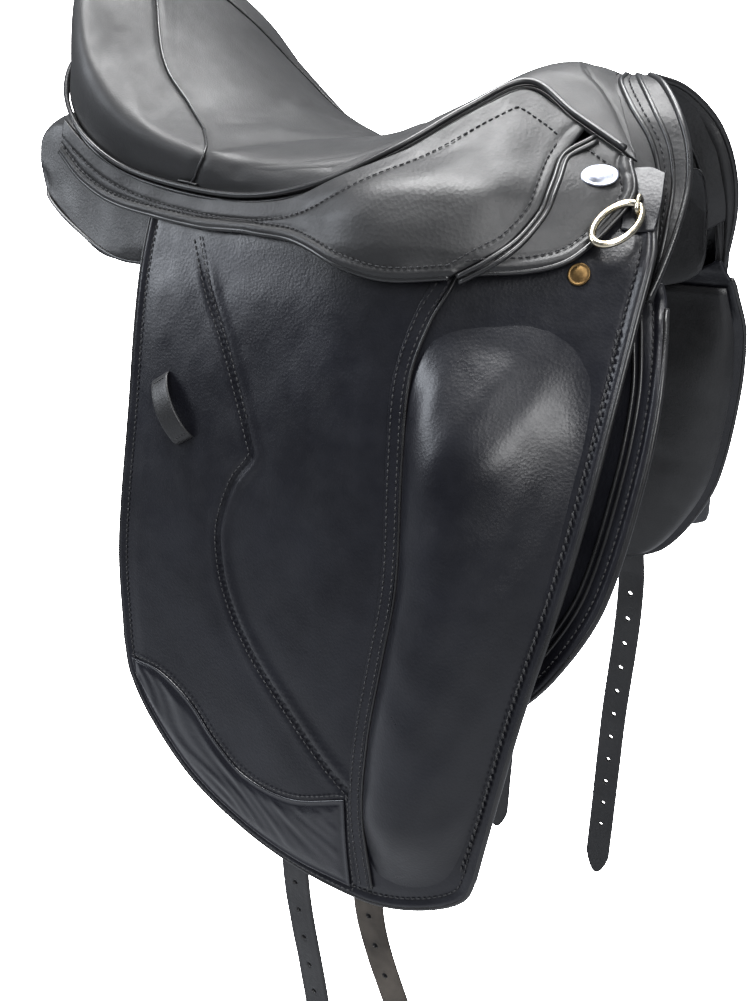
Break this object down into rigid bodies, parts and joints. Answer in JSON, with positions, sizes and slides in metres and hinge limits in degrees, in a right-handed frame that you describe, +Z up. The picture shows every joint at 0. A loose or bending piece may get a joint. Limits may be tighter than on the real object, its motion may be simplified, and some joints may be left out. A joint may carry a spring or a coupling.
{
  "type": "english dressage saddle",
  "caption": "English dressage saddle with a deep padded seat, long flaps with outside knee blocks, skirts over stirrup bars, flocked panels and long girth straps.",
  "frame": {"origin": "on the centre plane, at the top of the rack's bar in the spine channel, under the lowest part of the seat (mount rack_rest)", "axes": "+X forward to the pommel, +Y to the saddle's left side, +Z up"},
  "size_m": [0.4975, 0.5856, 0.8342],
  "materials": {
    "seat_leather": "satin",
    "skirt_leather": "satin",
    "flap_leather": "satin",
    "block_leather": "satin",
    "patch_leather": "gloss",
    "panel_leather": "satin",
    "strap_leather": "satin",
    "foam": "matte",
    "webbing": "matte",
    "tree_shell": "matte",
    "steel": "satin",
    "badge_metal": "polished",
    "ring_metal": "polished",
    "stud_brass": "satin"
  },
  "bodies": {
    "saddle": {"seat_centre": "seat_leather", "seat_side_right": "seat_leather", "seat_side_left": "seat_leather", "seat_foam": "foam", "tree": "tree_shell", "head_arch": "steel", "front_facing": "skirt_leather", "cantle_back": "skirt_leather", "seat_welt_right": "seat_leather", "seat_welt_left": "seat_leather", "skirt_rear_right": "skirt_leather", "skirt_rear_left": "skirt_leather", "skirt_front_right": "skirt_leather", "skirt_front_left": "skirt_leather", "flap_top_right": "flap_leather", "flap_top_left": "flap_leather", "sweat_flap_right": "flap_leather", "sweat_flap_left": "flap_leather", "girth_web_right": "webbing", "girth_web_left": "webbing", "panel_front_right": "panel_leather", "panel_front_left": "panel_leather", "panel_right": "panel_leather", "panel_left": "panel_leather", "stirrup_bar_right": "steel", "stirrup_bar_left": "steel", "bar_rivet_1_right": "steel", "bar_rivet_1_left": "steel", "bar_rivet_2_right": "steel", "bar_rivet_2_left": "steel", "badge_right": "badge_metal", "badge_left": "badge_metal", "flap_stud_right": "stud_brass", "flap_stud_left": "stud_brass", "dee_staple_right": "ring_metal", "dee_staple_left": "ring_metal"},
    "flap_lower_right": {"flap_right": "flap_leather", "knee_block_right": "block_leather", "flap_patch_right": "patch_leather", "keeper_loop_right": "strap_leather"},
    "flap_lower_left": {"flap_left": "flap_leather", "knee_block_left": "block_leather", "flap_patch_left": "patch_leather", "keeper_loop_left": "strap_leather"},
    "skirt_lower_right": {"skirt_lobe_right": "skirt_leather"},
    "skirt_lower_left": {"skirt_lobe_left": "skirt_leather"},
    "strap_front_right": {"girth_strap_front_right": "strap_leather"},
    "strap_rear_right": {"girth_strap_rear_right": "strap_leather"},
    "strap_front_left": {"girth_strap_front_left": "strap_leather"},
    "strap_rear_left": {"girth_strap_rear_left": "strap_leather"},
    "catch_right": {"bar_catch_right": "steel"},
    "catch_left": {"bar_catch_left": "steel"},
    "dee_right": {"dee_ring_right": "ring_metal"},
    "dee_left": {"dee_ring_left": "ring_metal"}
  },
  "joints": [
    {"name": "flap_right_lift", "type": "hinge", "parent": "saddle", "child": "flap_lower_right", "pos_m": [0.03, -0.1335, -0.05], "axis": [-1, 0, 0], "range_deg": [0, 65]},
    {"name": "flap_left_lift", "type": "hinge", "parent": "saddle", "child": "flap_lower_left", "pos_m": [0.03, 0.1335, -0.05], "axis": [1, 0, 0], "range_deg": [-32, 33]},
    {"name": "skirt_right_lift", "type": "hinge", "parent": "saddle", "child": "skirt_lower_right", "pos_m": [0.06, -0.1318, 0.003], "axis": [-0.9524, -0.2857, -0.1067], "range_deg": [0, 40]},
    {"name": "skirt_left_lift", "type": "hinge", "parent": "saddle", "child": "skirt_lower_left", "pos_m": [0.06, 0.1318, 0.003], "axis": [0.9524, -0.2857, 0.1067], "range_deg": [0, 40]},
    {"name": "strap_front_right_swing", "type": "hinge", "parent": "saddle", "child": "strap_front_right", "pos_m": [0.10963, -0.10299, -0.036], "axis": [-0.0987, 0.9868, -0.1283], "range_deg": [-8, 2]},
    {"name": "strap_rear_right_swing", "type": "hinge", "parent": "saddle", "child": "strap_rear_right", "pos_m": [0.01986, -0.121, -0.036], "axis": [0, 0.9917, -0.1289], "range_deg": [-2, 8]},
    {"name": "strap_front_left_swing", "type": "hinge", "parent": "saddle", "child": "strap_front_left", "pos_m": [0.11046, 0.10273, -0.036], "axis": [0.0987, 0.9868, 0.1283], "range_deg": [-4, 4]},
    {"name": "strap_rear_left_swing", "type": "hinge", "parent": "saddle", "child": "strap_rear_left", "pos_m": [0.02011, 0.121, -0.036], "axis": [0, 0.9917, 0.1289], "range_deg": [-4, 8]},
    {"name": "catch_right_turn", "type": "hinge", "parent": "saddle", "child": "catch_right", "pos_m": [0.04588, -0.12302, -0.00433], "axis": [-0.2863, 0.8787, -0.382], "range_deg": [0, 55]},
    {"name": "catch_left_turn", "type": "hinge", "parent": "saddle", "child": "catch_left", "pos_m": [0.04588, 0.12302, -0.00433], "axis": [0.2863, 0.8787, 0.382], "range_deg": [0, 55]},
    {"name": "dee_right_swing", "type": "hinge", "parent": "saddle", "child": "dee_right", "pos_m": [0.19134, -0.07616, 0.00513], "axis": [-0.8406, 0.1607, 0.5173], "range_deg": [0, 45]},
    {"name": "dee_left_swing", "type": "hinge", "parent": "saddle", "child": "dee_left", "pos_m": [0.19134, 0.07616, 0.00513], "axis": [0.8406, 0.1607, -0.5173], "range_deg": [0, 45]}
  ]
}
